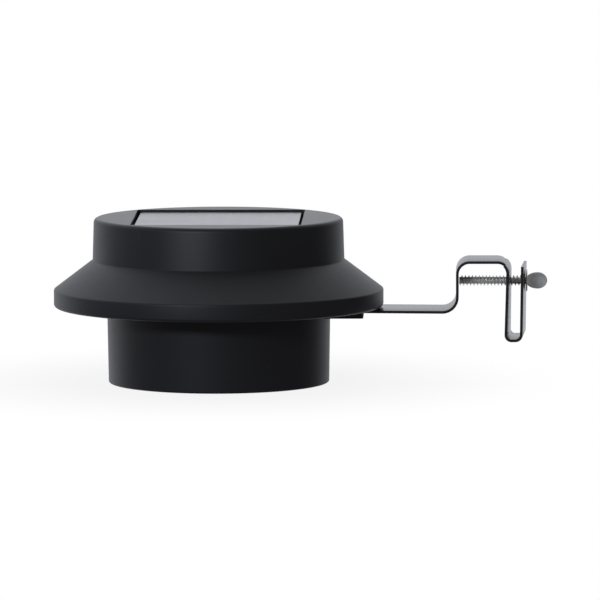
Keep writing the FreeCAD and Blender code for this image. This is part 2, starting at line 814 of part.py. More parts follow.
parts = {
    "top_housing": make_top_housing,
    "solar_panel": make_solar_panel,
    "panel_pad": make_panel_pad,
    "lower_housing": make_lower_housing,
    "housing_seal": make_housing_seal,
    "housing_screws": make_housing_screws,
    "lens": make_lens,
    "lens_gasket": make_lens_gasket,
    "reflector": make_reflector,
    "light_board": make_light_board,
    "leds": make_leds,
    "light_board_screws": make_light_board_screws,
    "component_tray": make_component_tray,
    "tray_screws": make_tray_screws,
    "control_board": make_control_board,
    "control_components": make_control_components,
    "control_board_screws": make_control_board_screws,
    "battery": make_battery,
    "battery_holder": make_battery_holder,
    "battery_contacts": make_battery_contacts,
    "switch_button": make_switch_button,
    "switch_body": make_switch_body,
    "bracket_strip": make_bracket_strip,
    "bracket_block": make_bracket_block,
    "bracket_screws": make_bracket_screws,
    "clamp_screw": make_clamp_screw,
    "screw_washer": make_screw_washer,
    "panel_leads": make_panel_leads,
    "battery_leads": make_battery_leads,
    "light_leads": make_light_leads,
    "switch_leads": make_switch_leads,
}

os.makedirs("parts", exist_ok=True)
for name, make in parts.items():
    shape = make()
    shape.exportStep("parts/" + name + ".step")
    print(name, len(shape.Solids), "solids", round(shape.Volume, 1), "mm3", shape.isValid())
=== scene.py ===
"""Solar fence light: a round black lamp on a bent strip clamp with a thumb screw.

Metres, +Z up, the lamp's axis on Z and its foot rim at height 0. The strip runs out along +X.
Every surface is a grid of points worked out with numpy: a section turned about an axis, or a
section carried along a path.
"""
import json
import math

import bmesh
import bpy
import numpy as np
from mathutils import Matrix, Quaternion, Vector


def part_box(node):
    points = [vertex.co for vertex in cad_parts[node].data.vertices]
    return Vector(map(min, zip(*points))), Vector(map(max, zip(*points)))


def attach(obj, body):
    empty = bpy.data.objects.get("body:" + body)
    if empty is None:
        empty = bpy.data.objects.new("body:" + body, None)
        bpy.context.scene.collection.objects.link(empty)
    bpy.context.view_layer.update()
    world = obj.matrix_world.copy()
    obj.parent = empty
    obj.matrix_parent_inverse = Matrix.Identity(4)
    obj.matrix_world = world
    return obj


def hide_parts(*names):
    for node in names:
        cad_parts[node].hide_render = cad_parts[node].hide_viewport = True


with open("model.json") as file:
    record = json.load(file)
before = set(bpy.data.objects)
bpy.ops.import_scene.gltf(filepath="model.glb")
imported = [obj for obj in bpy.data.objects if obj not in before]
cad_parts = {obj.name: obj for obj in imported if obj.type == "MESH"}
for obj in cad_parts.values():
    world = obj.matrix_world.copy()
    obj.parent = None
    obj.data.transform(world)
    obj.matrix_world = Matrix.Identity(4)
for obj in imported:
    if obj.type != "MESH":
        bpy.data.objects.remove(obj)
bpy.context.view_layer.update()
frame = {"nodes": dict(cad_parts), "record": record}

MM = 0.001
TURN = 2 * math.pi

# ---- sizes of the lamp, in metres ----
foot_radius = 38.5 * MM
neck_radius = 38.95 * MM
flange_radius = 57.5 * MM
cap_foot_radius = 43.9 * MM
cap_top_radius = 43.45 * MM
flange_foot = 26.6 * MM
flange_top = 32.6 * MM
skirt_top = 42.9 * MM
lamp_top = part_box("top_housing")[1].z
wall = 2.0 * MM
plate_foot = 27.0 * MM
plate_top = 29.0 * MM
plate_radius = 55.3 * MM
rim_bore = 55.5 * MM
rib_outer = 52.8 * MM
rib_inner = 51.6 * MM
rib_top = 31.0 * MM
seal_top = 30.0 * MM
ledge_radius = 53.0 * MM
edge_round = 0.15 * MM
cap_edge_round = 1.6 * MM
skirt_round = 0.5 * MM
flange_top_round = 0.9 * MM
flange_foot_round = 1.1 * MM
neck_round = 0.8 * MM
foot_round = 0.7 * MM
# rings of points beside the plate's rounds, which keep the shading of its flat face even
neck_land = 1.4 * MM
rim_land = 0.5 * MM

# ---- recess and panel ----
recess_half = 29.5 * MM
recess_corner = 0.5 * MM
lead_hole = 3.0 * MM
panel_half = 28.5 * MM
panel_corner = 4.0 * MM
panel_top_round = 0.45 * MM
panel_foot_round = 0.1 * MM
panel_foot, panel_top = (corner.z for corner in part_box("solar_panel"))
recess_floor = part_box("panel_pad")[0].z
recess_back = recess_floor - 1.6 * MM

# ---- cup's foot, lens and lights ----
rebate_radius = 34.8 * MM
lens_radius = 34.6 * MM
lens_foot, lens_top = (corner.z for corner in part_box("lens"))
lens_bevel = 0.3 * MM
lens_rim = 2.0 * MM
ridge_count = 9
ridge_depth = 0.18 * MM
ledge_height = 2.6 * MM
lip_radius = 32.0 * MM
lip_top = 4.6 * MM
led_circle = 10.5 * MM
led_radius = 2.5 * MM
led_collar = 2.9 * MM
led_collar_height = 1.0 * MM
led_foot, led_top = (corner.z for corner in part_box("leds"))

# ---- screws in the plate, and the push button ----
boss_circle = 47.4 * MM
boss_radius = 3.2 * MM
boss_rise = 1.0 * MM
bracket_boss_rise = 6.0 * MM
screw_head = 2.6 * MM
screw_head_rim = 0.12 * MM
screw_head_height = 1.5 * MM
screw_shank = 1.25 * MM
screw_gap = 0.05 * MM
# half length and half width of a cross recess's bars at the face and at their end
cross_foot = (1.55 * MM, 0.28 * MM)
cross_top = (0.75 * MM, 0.2 * MM)
cross_depth = 1.1 * MM
# how far below the plate's face the countersinks' cutters start
cutter_start = 0.3 * MM
housing_screw_length = 8.5 * MM
bracket_screw_length = 10.0 * MM
bracket_screw_y = 6.0 * MM
bracket_screw_x = (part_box("bracket_screws")[0].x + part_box("bracket_screws")[1].x) / 2
block_foot, seat_top = (corner.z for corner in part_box("bracket_block"))
block_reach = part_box("bracket_block")[1].x
block_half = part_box("bracket_block")[1].y
tray_post_circle = 33.8 * MM
tray_height = 21.0 * MM
button_x = -46.0 * MM
button_radius = 3.0 * MM
button_collar = 3.6 * MM
button_foot, stem_top = (corner.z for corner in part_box("switch_button"))
button_shoulder = 29.2 * MM
button_collar_top = 30.0 * MM
button_round = 0.5 * MM
button_dish = 0.25 * MM
stem_radius = 1.0 * MM
running_gap = 0.06 * MM

# ---- strip clamp ----
strip_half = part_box("bracket_strip")[1].y
strip_thickness = 0.94 * MM
strip_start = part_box("bracket_strip")[0].x
arm_middle = 25.55 * MM
leg_reach = 83.25 * MM
hook_middle = 42.69 * MM
inner_leg = 101.3 * MM
inner_lean = 0.55 * MM
clamp_middle = 15.39 * MM
outer_leg = 106.4 * MM
outer_lean = 0.37 * MM
clamp_end = 41.2 * MM
arm_bend = 4.7 * MM
hook_bend = 3.8 * MM
inner_bend = 3.6 * MM
clamp_bend = 1.5 * MM
hook_toe = math.tan(math.radians(2.5))
inner_toe = math.tan(math.radians(3.7))
outer_toe = math.tan(math.radians(3.2))
toe_start = leg_reach + 6 * MM
toe_run = 6 * MM
strip_edge = 0.03 * MM
arm_sag = 0.25 * MM
strip_hole = screw_shank + 0.2 * MM

# ---- clamp screw ----
screw_height = 35.44 * MM
screw_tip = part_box("clamp_screw")[0].x
thread_radius = 2.05 * MM
thread_crest = 1.92 * MM
thread_root = 1.22 * MM
thread_pitch = 1.2 * MM
tip_chamfer = 0.5 * MM
thread_run_out = 0.6 * MM
washer_start, washer_end = (corner.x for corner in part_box("screw_washer"))
washer_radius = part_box("screw_washer")[1].z - screw_height
washer_bore_round = 0.08 * MM
washer_rim_round = 0.14 * MM
shaft_neck = 1.5 * MM
neck_tip = 0.7 * MM
paddle_centre = 111.2 * MM
paddle_right = 3.35 * MM
paddle_left = 4.3 * MM
paddle_half_height = 2.9 * MM
paddle_thickness = 1.7 * MM
paddle_rim = 0.7 * MM
paddle_dish = 0.3 * MM


# ---- camera and studio ----
def make_camera():
    """The photograph's view: 2.5 m away with a long lens, 1.4 degrees to the right of the front
    and 5.8 degrees above it, turned a hair about its own axis."""
    distance, azimuth, elevation = 2.5, math.radians(1.4), 0.1017
    roll = math.radians(-0.17)
    target = Vector((0.02836, 0, 0.02858))
    back = Vector((math.sin(azimuth) * math.cos(elevation),
                   -math.cos(azimuth) * math.cos(elevation), math.sin(elevation)))
    data = bpy.data.cameras.new("camera")
    data.sensor_width = 36
    data.lens = 430
    data.clip_end = 50
    camera = bpy.data.objects.new("camera", data)
    camera.location = target + back * distance
    camera.rotation_mode = "QUATERNION"
    camera.rotation_quaternion = (-back).to_track_quat("-Z", "Y") @ Quaternion((0, 0, 1), roll)
    bpy.context.scene.collection.objects.link(camera)
    bpy.context.scene.camera = camera


def soft_lamp(name, place, aim, width, height, radiance, colour=(1, 1, 1)):
    """A flat lamp at a place, facing aim. Its power is pi * area * radiance."""
    data = bpy.data.lights.new(name, "AREA")
    data.shape = "RECTANGLE"
    data.size = width
    data.size_y = height
    data.energy = math.pi * width * height * radiance
    data.color = colour
    lamp = bpy.data.objects.new(name, data)
    lamp.location = place
    lamp.rotation_mode = "QUATERNION"
    lamp.rotation_quaternion = (Vector(aim) - Vector(place)).to_track_quat("-Z", "Y")
    bpy.context.scene.collection.objects.link(lamp)


def make_lamps():
    """A low softbox at the front left, and weaker ones at the left and above."""
    middle = (0.02, 0, 0.03)
    soft_lamp("left_lamp", (-1.0, -0.1, 0.3), middle, 0.6, 0.8, 0.37, (0.84, 0.88, 1.0))
    soft_lamp("top_lamp", (-0.1, 0.25, 1.1), middle, 0.9, 0.6, 0.5, (0.92, 0.94, 1.0))
    soft_lamp("front_lamp", (-0.448, -1.051, 0.371), middle, 0.32, 0.12, 29.0, (0.82, 0.90, 1.0))


# ---- shader values ----
class Value:
    """A number or colour in a material. Each operator adds its Math node."""

    def __init__(self, finish, socket):
        self.finish = finish
        self.socket = socket

    def math(self, operation, *others):
        """A Math node on this value and others, in that order."""
        return self.finish.node("ShaderNodeMath", {"operation": operation},
                                dict(enumerate((self, *others))))

    def __add__(self, other):
        return self.math("ADD", other)

    def __sub__(self, other):
        return self.math("SUBTRACT", other)

    def __rsub__(self, other):
        return self.math("MULTIPLY_ADD", -1.0, other)

    def __mul__(self, other):
        return self.math("MULTIPLY", other)

    def __truediv__(self, other):
        return self.math("DIVIDE", other)

    def __abs__(self):
        return self.math("ABSOLUTE")

    __radd__ = __add__
    __rmul__ = __mul__

    def output(self, name):
        """Another output of the node that this value comes from, by its name or number."""
        return Value(self.finish, self.socket.node.outputs[name])

    def over(self, edge, softness):
        """0 below edge and 1 above edge + softness, with a smooth rise between."""
        settings = {"interpolation_type": "SMOOTHSTEP"}
        return self.finish.node("ShaderNodeMapRange", settings,
                                {"Value": self, "From Min": edge, "From Max": edge + softness})


class Finish:
    """A material of nodes round one Principled shader. Constants go on the shader's own sockets."""

    def __init__(self, name, tree=None, **constants):
        if tree is None:
            self.material = bpy.data.materials.new(name)
            self.material.use_nodes = True
            tree = self.material.node_tree
            self.shader = tree.nodes["Principled BSDF"]
            for socket, value in constants.items():
                self.shader.inputs[socket.replace("_", " ")].default_value = value
        self.tree = tree

    def node(self, kind, settings=None, sockets=None, output=0):
        """Any node: its settings first, then the values or links of its sockets."""
        made = self.tree.nodes.new(kind)
        for name, value in (settings or {}).items():
            setattr(made, name, value)
        for name, value in (sockets or {}).items():
            self.feed(made.inputs[name], value)
        return Value(self, made.outputs[output])

    def feed(self, socket, value):
        """Links a value to a socket, or sets the socket to a number, a colour or a vector."""
        if isinstance(value, Value):
            self.tree.links.new(value.socket, socket)
        elif isinstance(value, tuple) and len(value) == 3 and socket.type == "RGBA":
            socket.default_value = (*value, 1)
        else:
            socket.default_value = value

    def paint(self, **sockets):
        """Feeds the shader's own sockets, named with _ for a space."""
        for name, value in sockets.items():
            self.feed(self.shader.inputs[name.replace("_", " ")], value)

    def place(self):
        """The object coordinates, in metres."""
        return self.node("ShaderNodeTexCoord", output="Object")

    def axes(self):
        """The X, Y and Z of the object coordinates, each as a value."""
        split = self.node("ShaderNodeSeparateXYZ", sockets={0: self.place()})
        return [split.output(i) for i in range(3)]

    def noise(self, scale, detail=2.0, stretch=(1, 1, 1)):
        """Noise whose cells are 1 / scale across, narrowed along each axis by stretch."""
        place = self.node("ShaderNodeMapping", sockets={"Vector": self.place(), "Scale": stretch})
        return self.node("ShaderNodeTexNoise", sockets={"Vector": place, "Scale": scale, "Detail": detail})

    def mix(self, factor, first, second):
        """The first colour at a factor of 0 and the second at 1."""
        return self.node("ShaderNodeMix", {"data_type": "RGBA"}, {0: factor, 6: first, 7: second}, 2)

    def bump(self, height, depth, strength=1.0):
        """Normal from a height of 0 to 1 that stands for a depth in metres."""
        self.paint(Normal=self.node("ShaderNodeBump",
                                    sockets={"Height": height, "Distance": depth, "Strength": strength}))


# ---- finishes ----
def moulded_black(name="moulded_black", shade=1.0):
    """Satin black moulding: spark-eroded grain, slow drift of shade, fine scuffs and specks, and a
    smoother top face."""
    f = Finish(name, IOR=1.5)
    height = f.axes()[2]
    drift = f.noise(38, 3)
    grain = f.noise(5200, 2)
    streaks = f.noise(170, 4, (1, 1, 14))
    scuffs = f.noise(420, 5, (1, 1, 0.16)).over(0.685, 0.05) * f.noise(60, 2).over(0.52, 0.08)
    specks = f.noise(1500, 1).over(0.795, 0.02)
    top = height.over(lamp_top - 0.4 * MM, 0.3 * MM)
    dark = (0.0105 * shade, 0.0103 * shade, 0.0135 * shade)
    light = (0.0160 * shade, 0.0158 * shade, 0.0195 * shade)
    colour = f.mix(drift, dark, light)
    colour = f.mix(scuffs * 0.3, colour, (0.07, 0.07, 0.075))
    colour = f.mix(specks * 0.4, colour, (0.12, 0.12, 0.125))
    f.paint(Base_Color=colour, Roughness=0.42 + drift * 0.05 + streaks * 0.06 - top * 0.10)
    f.bump(grain * 0.7 + streaks * 0.3, 0.000012, 0.6)
    return f.material


def solar_cells():
    """Dark cells under clear resin: silver fingers and two busbars on each of four strips,
    crystal flakes in the silicon, and a black border."""
    f = Finish("solar_cells", IOR=1.5)
    cell_width = 13.2 * MM
    finger_pitch = 1.9 * MM
    cells_half = 26.6 * MM
    x, y, _ = f.axes()
    flakes = f.node("ShaderNodeTexVoronoi", None, {"Vector": f.place(), "Scale": 260.0}, "Color")
    flake = f.node("ShaderNodeSeparateColor", sockets={0: flakes})
    silicon = f.mix(flake, (0.010, 0.014, 0.034), (0.018, 0.026, 0.056))
    across = (x / cell_width).math("PINGPONG", 0.5)
    gap = across.over(0.475, 0.008)
    bus = 1 - abs(across - 0.25).over(0.012, 0.008)
    finger = (y / finger_pitch).math("PINGPONG", 0.5).over(0.452, 0.02)
    border = abs(x).math("MAXIMUM", abs(y)).over(cells_half, 0.1 * MM)
    silver = bus.math("MAXIMUM", finger * 0.55)
    colour = f.mix(silver * 0.5, silicon, (0.20, 0.21, 0.23))
    colour = f.mix(gap, colour, (0.020, 0.022, 0.030))
    colour = f.mix(border, colour, (0.020, 0.022, 0.026))
    ripple = f.noise(55, 2)
    dust = f.noise(900, 3).over(0.70, 0.06)
    f.paint(Base_Color=f.mix(dust * 0.06, colour, (0.3, 0.3, 0.3)),
            Roughness=0.18 + ripple * 0.05 + dust * 0.06)
    f.bump(ripple, 0.00005, 0.3)
    return f.material


def blackened_steel():
    """Thin black finish on steel strip: rolling lines along the strip, darker matt cut edges."""
    f = Finish("blackened_steel", IOR=1.6)
    y = f.axes()[1]
    rolled = f.noise(900, 3, (0.05, 1, 0.05))
    cloud = f.noise(120, 3)
    grain = f.noise(6000, 1)
    cut = abs(y).over(strip_half - 0.10 * MM, 0.06 * MM)
    beside = abs(y).over(strip_half - 0.9 * MM, 0.6 * MM) * (1 - cut)
    worn = beside * f.noise(700, 3).over(0.58, 0.12)
    scratch = f.noise(500, 4, (0.08, 1, 0.1)).over(0.70, 0.03)
    colour = f.mix(cloud, (0.018, 0.018, 0.020), (0.028, 0.028, 0.031))
    colour = f.mix(worn * 0.12 + scratch * 0.12, colour, (0.20, 0.20, 0.21))
    colour = f.mix(cut, colour, (0.006, 0.006, 0.007))
    f.paint(Base_Color=colour, Roughness=0.20 + rolled * 0.08 + grain * 0.04 + cut * 0.35)
    f.bump(rolled * 0.6 + grain * 0.4, 0.000006, 0.5)
    return f.material


def zinc(name, dark, light, roughness, metallic, stipple=0.0):
    """Zinc plating: a soft bloom of two greys over a fine crystal grain, on a cast skin whose
    stipple deepens with stipple."""
    f = Finish(name, IOR=1.5, Metallic=metallic)
    bloom = f.noise(800, 4)
    cast = f.noise(1800, 2)
    fine = f.noise(9000, 1)
    f.paint(Base_Color=f.mix(bloom, dark, light), Roughness=roughness + bloom * 0.10 + cast * 0.05)
    f.bump(cast * (0.4 + stipple) + fine * 0.3, 0.00002 + 0.00008 * stipple, 0.7)
    return f.material


def clear_lens():
    """Clear plastic with a fine pebbled back that spreads the light."""
    f = Finish("clear_lens", IOR=1.49, Transmission_Weight=1.0)
    pebble = f.node("ShaderNodeTexVoronoi", {"feature": "SMOOTH_F1"},
                    {"Vector": f.place(), "Scale": 620.0})
    haze = f.noise(60, 2)
    f.paint(Base_Color=f.mix(haze, (0.93, 0.95, 0.96), (0.97, 0.98, 0.98)), Roughness=0.06 + haze * 0.06)
    f.bump(pebble, 0.00012, 0.5)
    return f.material


def grained(name, dark, light, roughness, scale=900, depth=0.00001, **constants):
    """A plain moulded, painted or plated finish: two shades in soft cells, and a grain."""
    f = Finish(name, **constants)
    cloud = f.noise(scale * 0.12, 3)
    grain = f.noise(scale * 4, 2)
    f.paint(Base_Color=f.mix(cloud, dark, light), Roughness=roughness + cloud * 0.08 + grain * 0.04)
    f.bump(grain, depth, 0.6)
    return f.material


def circuit_green():
    """Green solder mask over copper tracks, with a weave that shows through."""
    f = Finish("circuit_green", IOR=1.5)
    weave_scale = 5200
    x, y, _ = f.axes()
    tracks = f.node("ShaderNodeTexBrick", {"offset": 0.37},
                    {"Vector": f.place(), "Scale": 160.0, "Mortar Size": 0.03}, "Fac")
    weave = (x * weave_scale).math("SINE") * (y * weave_scale).math("SINE")
    colour = f.mix(tracks, (0.012, 0.11, 0.045), (0.03, 0.20, 0.085))
    f.paint(Base_Color=colour, Roughness=0.36 + f.noise(400, 2) * 0.1)
    f.bump(tracks + weave * 0.05, 0.00003, 0.6)
    return f.material


def battery_wrap():
    """Shrink sleeve in plain dark green with bare metal ends and fine wrinkles along it."""
    f = Finish("battery_wrap", IOR=1.5)
    sleeve_half = 24.0 * MM
    y = f.axes()[1]
    end = abs(y).over(sleeve_half, 0.2 * MM)
    wrinkle = f.noise(300, 3, (4, 0.3, 4))
    sleeve = f.mix(wrinkle, (0.01, 0.10, 0.05), (0.02, 0.15, 0.08))
    f.paint(Base_Color=f.mix(end, sleeve, (0.62, 0.61, 0.58)), Metallic=end,
            Roughness=0.25 + wrinkle * 0.12)
    f.bump(wrinkle, 0.00004, 0.6)
    return f.material


def wire_red_black():
    """Wire insulation: red on one side of the lamp's middle plane and black on the other."""
    f = Finish("wire_red_black", IOR=1.5)
    y = f.axes()[1]
    side = y.over(0.0, 0.05 * MM)
    marks = f.noise(900, 2)
    red = f.mix(marks, (0.36, 0.012, 0.010), (0.48, 0.022, 0.016))
    black = f.mix(marks, (0.012, 0.012, 0.013), (0.03, 0.03, 0.032))
    f.paint(Base_Color=f.mix(side, black, red), Roughness=0.38 + marks * 0.12)
    f.bump(marks, 0.00001)
    return f.material


def make_finishes():
    """The finish of each material slot, and cast_zinc for the thumb screw's paddle."""
    return {
        "housing_plastic": moulded_black(),
        "panel_laminate": solar_cells(),
        "foam_tape": grained("foam_tape", (0.02, 0.02, 0.02), (0.07, 0.07, 0.07), 0.8, 1500, 0.0001),
        "seal_rubber": grained("seal_rubber", (0.012, 0.012, 0.012), (0.03, 0.03, 0.03), 0.6),
        "screw_steel": zinc("screw_steel", (0.30, 0.30, 0.295), (0.47, 0.46, 0.45), 0.32, 1.0),
        "lens_clear": clear_lens(),
        "reflector_white": grained("reflector_white", (0.74, 0.74, 0.72), (0.84, 0.84, 0.83), 0.24),
        "circuit_board": circuit_green(),
        "led_resin": grained("led_resin", (0.80, 0.78, 0.60), (0.92, 0.91, 0.80), 0.08, 300, 0.00001,
                             IOR=1.5, Transmission_Weight=0.6),
        "tray_plastic": grained("tray_plastic", (0.035, 0.036, 0.04), (0.06, 0.06, 0.065), 0.45),
        "component_black": grained("component_black", (0.015, 0.015, 0.016), (0.035, 0.035, 0.036), 0.5),
        "battery_sleeve": battery_wrap(),
        "contact_nickel": grained("contact_nickel", (0.50, 0.47, 0.40), (0.66, 0.63, 0.56), 0.25,
                                  Metallic=1.0),
        "button_plastic": moulded_black("button_black", 0.8),
        "strip_steel": blackened_steel(),
        "clamp_zinc": zinc("clamp_zinc", (0.80, 0.78, 0.75), (0.95, 0.93, 0.90), 0.20, 0.5),
        "cast_zinc": zinc("cast_zinc", (0.36, 0.36, 0.37), (0.80, 0.80, 0.81), 0.42, 0.2, 0.6),
        "wire_insulation": wire_red_black(),
    }


# ---- surfaces ----
def surface(name, grids, around=True, along=False):
    """One mesh over grids of points (rows, columns, 3), each cell a quad. around joins the last
    column to the first, along joins the last row to the first. Rings shrunk to a point close up."""
    points = []
    quads = []
    start = 0
    for grid in grids:
        rows, columns = grid.shape[:2]
        index = start + np.arange(rows * columns).reshape(rows, columns)
        if around:
            index = np.concatenate([index, index[:, :1]], 1)
        if along:
            index = np.concatenate([index, index[:1]], 0)
        cells = np.stack([index[:-1, :-1], index[:-1, 1:], index[1:, 1:], index[1:, :-1]], -1)
        quads.append(cells.reshape(-1, 4))
        points.append(grid.reshape(-1, 3))
        start += rows * columns
    mesh = bpy.data.meshes.new(name)
    mesh.from_pydata(np.concatenate(points), [], np.concatenate(quads))
    piece = bpy.data.objects.new(name, mesh)
    bpy.context.scene.collection.objects.link(piece)
    tidy(mesh)
    return piece


def tidy(mesh):
    """Merges points that lie together, closes what collapses and turns the faces outwards."""
    form = bmesh.new()
    form.from_mesh(mesh)
    bmesh.ops.remove_doubles(form, verts=form.verts, dist=1e-6)
    bmesh.ops.dissolve_degenerate(form, edges=form.edges, dist=1e-7)
    bmesh.ops.recalc_face_normals(form, faces=form.faces)
    form.to_mesh(mesh)
    form.free()


def shape(piece, other, operation):
    """Cuts other out of piece, or adds it, and removes other."""
    modifier = piece.modifiers.new(operation, "BOOLEAN")
    modifier.operation = operation
    modifier.solver = "EXACT"
    modifier.object = other
    graph = bpy.context.evaluated_depsgraph_get()
    made = bpy.data.meshes.new_from_object(piece.evaluated_get(graph))
    piece.modifiers.clear()
    piece.data = made
    bpy.data.objects.remove(other)


def finish_piece(piece, body, slot, nodes, crease=32, finish=None):
    """Smooth faces with edges sharper than crease degrees kept, then finish, body and nodes. The
    finish is the slot's own unless another is named."""
    piece.data.shade_smooth()
    piece.data.set_sharp_from_angle(angle=math.radians(crease))
    piece.data.materials.clear()
    piece.data.materials.append(finishes[finish or slot])
    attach(piece, body)
    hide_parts(*nodes)


def rounded(corners, closed=False, steps=8):
    """Points and headings along straight runs whose corners (a, b, radius) are tangent arcs.
    On an arc the heading turns evenly from one run's to the next, and a point is the arc's centre
    plus the radius at a right angle to its heading."""
    places = np.array([corner[:2] for corner in corners], float)
    runs = np.roll(places, -1, 0) - places
    heading = np.arctan2(runs[:, 1], runs[:, 0])
    points, headings = [], []
    for i, corner in enumerate(corners):
        radius = corner[2] if len(corner) > 2 else 0
        at_end = not closed and i in (0, len(corners) - 1)
        if at_end or not radius:
            points.append(places[i:i + 1])
            headings.append(heading[i - 1:i] if i and not closed else heading[i:i + 1])
            continue
        before = heading[i - 1]
        turn = (heading[i] - before + math.pi) % TURN - math.pi
        start = places[i] - radius * math.tan(abs(turn) / 2) * np.array([np.cos(before), np.sin(before)])
        side = math.copysign(radius, turn)
        centre = start + side * np.array([-np.sin(before), np.cos(before)])
        angle = before + turn * np.linspace(0, 1, steps + 1)
        points.append(centre + side * np.stack([np.sin(angle), -np.cos(angle)], 1))
        headings.append(angle)
    return np.concatenate(points), np.concatenate(headings)


def turned(section, columns=192, x=0.0, y=0.0):
    """A section of (radius, height) turned about an upright axis: (r cos a, r sin a, z)."""
    angle = np.arange(columns) * TURN / columns
    radius, height = section[:, :1], section[:, 1:]
    return np.stack([x + radius * np.cos(angle), y + radius * np.sin(angle), height + 0 * angle], -1)


def turned_about_screw(section, columns=64):
    """A section of (x, radius) turned about the clamp screw's axis: (x, r cos a, h + r sin a)."""
    angle = np.arange(columns) * TURN / columns
    along, radius = section[:, :1], section[:, 1:]
    return np.stack([along + 0 * angle, radius * np.cos(angle),
                     screw_height + radius * np.sin(angle)], -1)


def square_radius(angle, half, corner):
    """Distance from the axis to a rounded square along an angle: h / cos a on a side, and on a
    corner k cos b + sqrt(c^2 - k^2 sin^2 b), where k is how far the corner's centre lies out and
    b the angle from the diagonal."""
    from_side = np.abs((angle + math.pi / 4) % (math.pi / 2) - math.pi / 4)
    from_diagonal = math.pi / 4 - from_side
    reach = (half - corner) * math.sqrt(2)
    inside = np.maximum(corner ** 2 - (reach * np.sin(from_diagonal)) ** 2, 0)
    bend = reach * np.cos(from_diagonal) + np.sqrt(inside)
    return np.where(half * np.tan(from_side) > half - corner, bend, half / np.cos(from_side))


def square_angles(half, corner, columns=192, steps=10):
    """Even angles, and more of them across each rounded corner."""
    spread = math.pi / 4 - math.atan((half - corner) / half)
    across = np.linspace(-spread, spread, 2 * steps + 1)
    corners = (np.arange(4)[:, None] * math.pi / 2 + math.pi / 4 + across).ravel()
    return np.unique(np.round(np.concatenate([np.arange(columns) * TURN / columns, corners]), 7))


def rod(radius, foot, top, x=0.0, y=0.0):
    """Plain upright rod, closed at both ends: a post, or a cutter for a hole."""
    return turned(np.array([(0, foot), (radius, foot), (radius, top), (0, top)]), 40, x, y)


def rings(angle, rows):
    """Rings of points about the axis, one for each (radius at each angle, height)."""
    return np.stack([np.stack([radius * np.cos(angle), radius * np.sin(angle), height + 0 * angle], -1)
                     for radius, height in rows])


# ---- lamp ----
def make_cap():
    """Outer skin from the flange's foot to the cap's rim by the turned section, a flat top that
    runs from the rim's circle to the square recess, the recess's walls and floor to the lead
    hole, and back under the floor and along the inner skin to the flange's foot."""
    angle = square_angles(recess_half, recess_corner)
    skirt_slope = (skirt_top - flange_top) / (flange_radius - cap_foot_radius)
    skin = wall * math.hypot(1, skirt_slope)
    inside_ledge = flange_top + (flange_radius - ledge_radius) * skirt_slope - skin
    bore_foot = cap_foot_radius - wall
    inside_foot = flange_top + (flange_radius - bore_foot) * skirt_slope - skin
    # a ring just outside the recess's corners, from which the top runs in to its square edge
    recess_ring = recess_half * 1.42
    outer, _ = rounded([(rim_bore, flange_foot), (flange_radius, flange_foot, flange_foot_round),
                        (flange_radius, flange_top, flange_top_round),
                        (cap_foot_radius, skirt_top, skirt_round),
                        (cap_top_radius, lamp_top, cap_edge_round), (recess_ring, lamp_top)])
    rows = [(radius, height) for radius, height in outer]
    lip, _ = rounded([(edge_round * 3, 0), (0, 0, edge_round), (0, -edge_round * 3)], steps=4)
    rows += [(square_radius(angle, recess_half + out, recess_corner + out), lamp_top + down)
             for out, down in lip]
    rows += [(square_radius(angle, recess_half, recess_corner), recess_floor),
             (lead_hole, recess_floor), (lead_hole, recess_back)]
    well = np.minimum(square_radius(angle, recess_half + wall, recess_corner), cap_top_radius - wall)
    rows += [(well, recess_back), (well, lamp_top - wall), (cap_top_radius - wall, lamp_top - wall),
             (bore_foot, inside_foot), (ledge_radius, inside_ledge), (ledge_radius, seal_top),
             (rim_bore, seal_top), (rim_bore, flange_foot + edge_round)]
    cap = surface("cap_moulding", [rings(angle, rows)], along=True)
    finish_piece(cap, "lamp", "housing_plastic", ["top_housing"])


def make_panel():
    """Rounded square slab: rings shrink to its middle below and above, with a soft resin edge."""
    angle = square_angles(panel_half, panel_corner)
    inwards = -2 * panel_top_round
    side, _ = rounded([(inwards, panel_foot), (0, panel_foot, panel_foot_round),
                       (0, panel_top, panel_top_round), (inwards, panel_top)], steps=6)
    rows = [(0 * angle, panel_foot)]
    rows += [(square_radius(angle, panel_half + out, panel_corner + out), height) for out, height in side]
    rows += [(square_radius(angle, panel_half * share, panel_corner * share), panel_top)
             for share in (0.9, 0.7, 0.4)]
    rows += [(0 * angle, panel_top)]
    panel = surface("solar_panel_laminate", [rings(angle, rows)])
    finish_piece(panel, "lamp", "panel_laminate", ["solar_panel"], 40)


def countersunk(place, gap=0.0, below=0.0):
    """Countersunk screw, head down: a cone, then a straight shank. Its hole is wider by a gap
    and starts below the head's face."""
    foot, length, x, y = place
    head, shank = screw_head + gap, screw_shank + gap
    section = [(0, foot - below), (head, foot - below), (head, foot + screw_head_rim),
               (shank, foot + screw_head_height), (shank, foot + length), (0, foot + length)]
    return turned(np.array(section), 40, x, y)


def on_circle(count, radius, start):
    """Places (x, y) spaced evenly round the lamp's axis, the first at start degrees."""
    angle = math.radians(start) + np.arange(count) * TURN / count
    return np.stack([radius * np.cos(angle), radius * np.sin(angle)], 1)


def plate_screws():
    """Foot height, length and place of each countersunk screw: housing's, then bracket's."""
    housing = [(plate_foot, housing_screw_length, x, y) for x, y in on_circle(4, boss_circle, 45)]
    bracket = [(block_foot, bracket_screw_length, bracket_screw_x, y)
               for y in (-bracket_screw_y, bracket_screw_y)]
    return housing, bracket


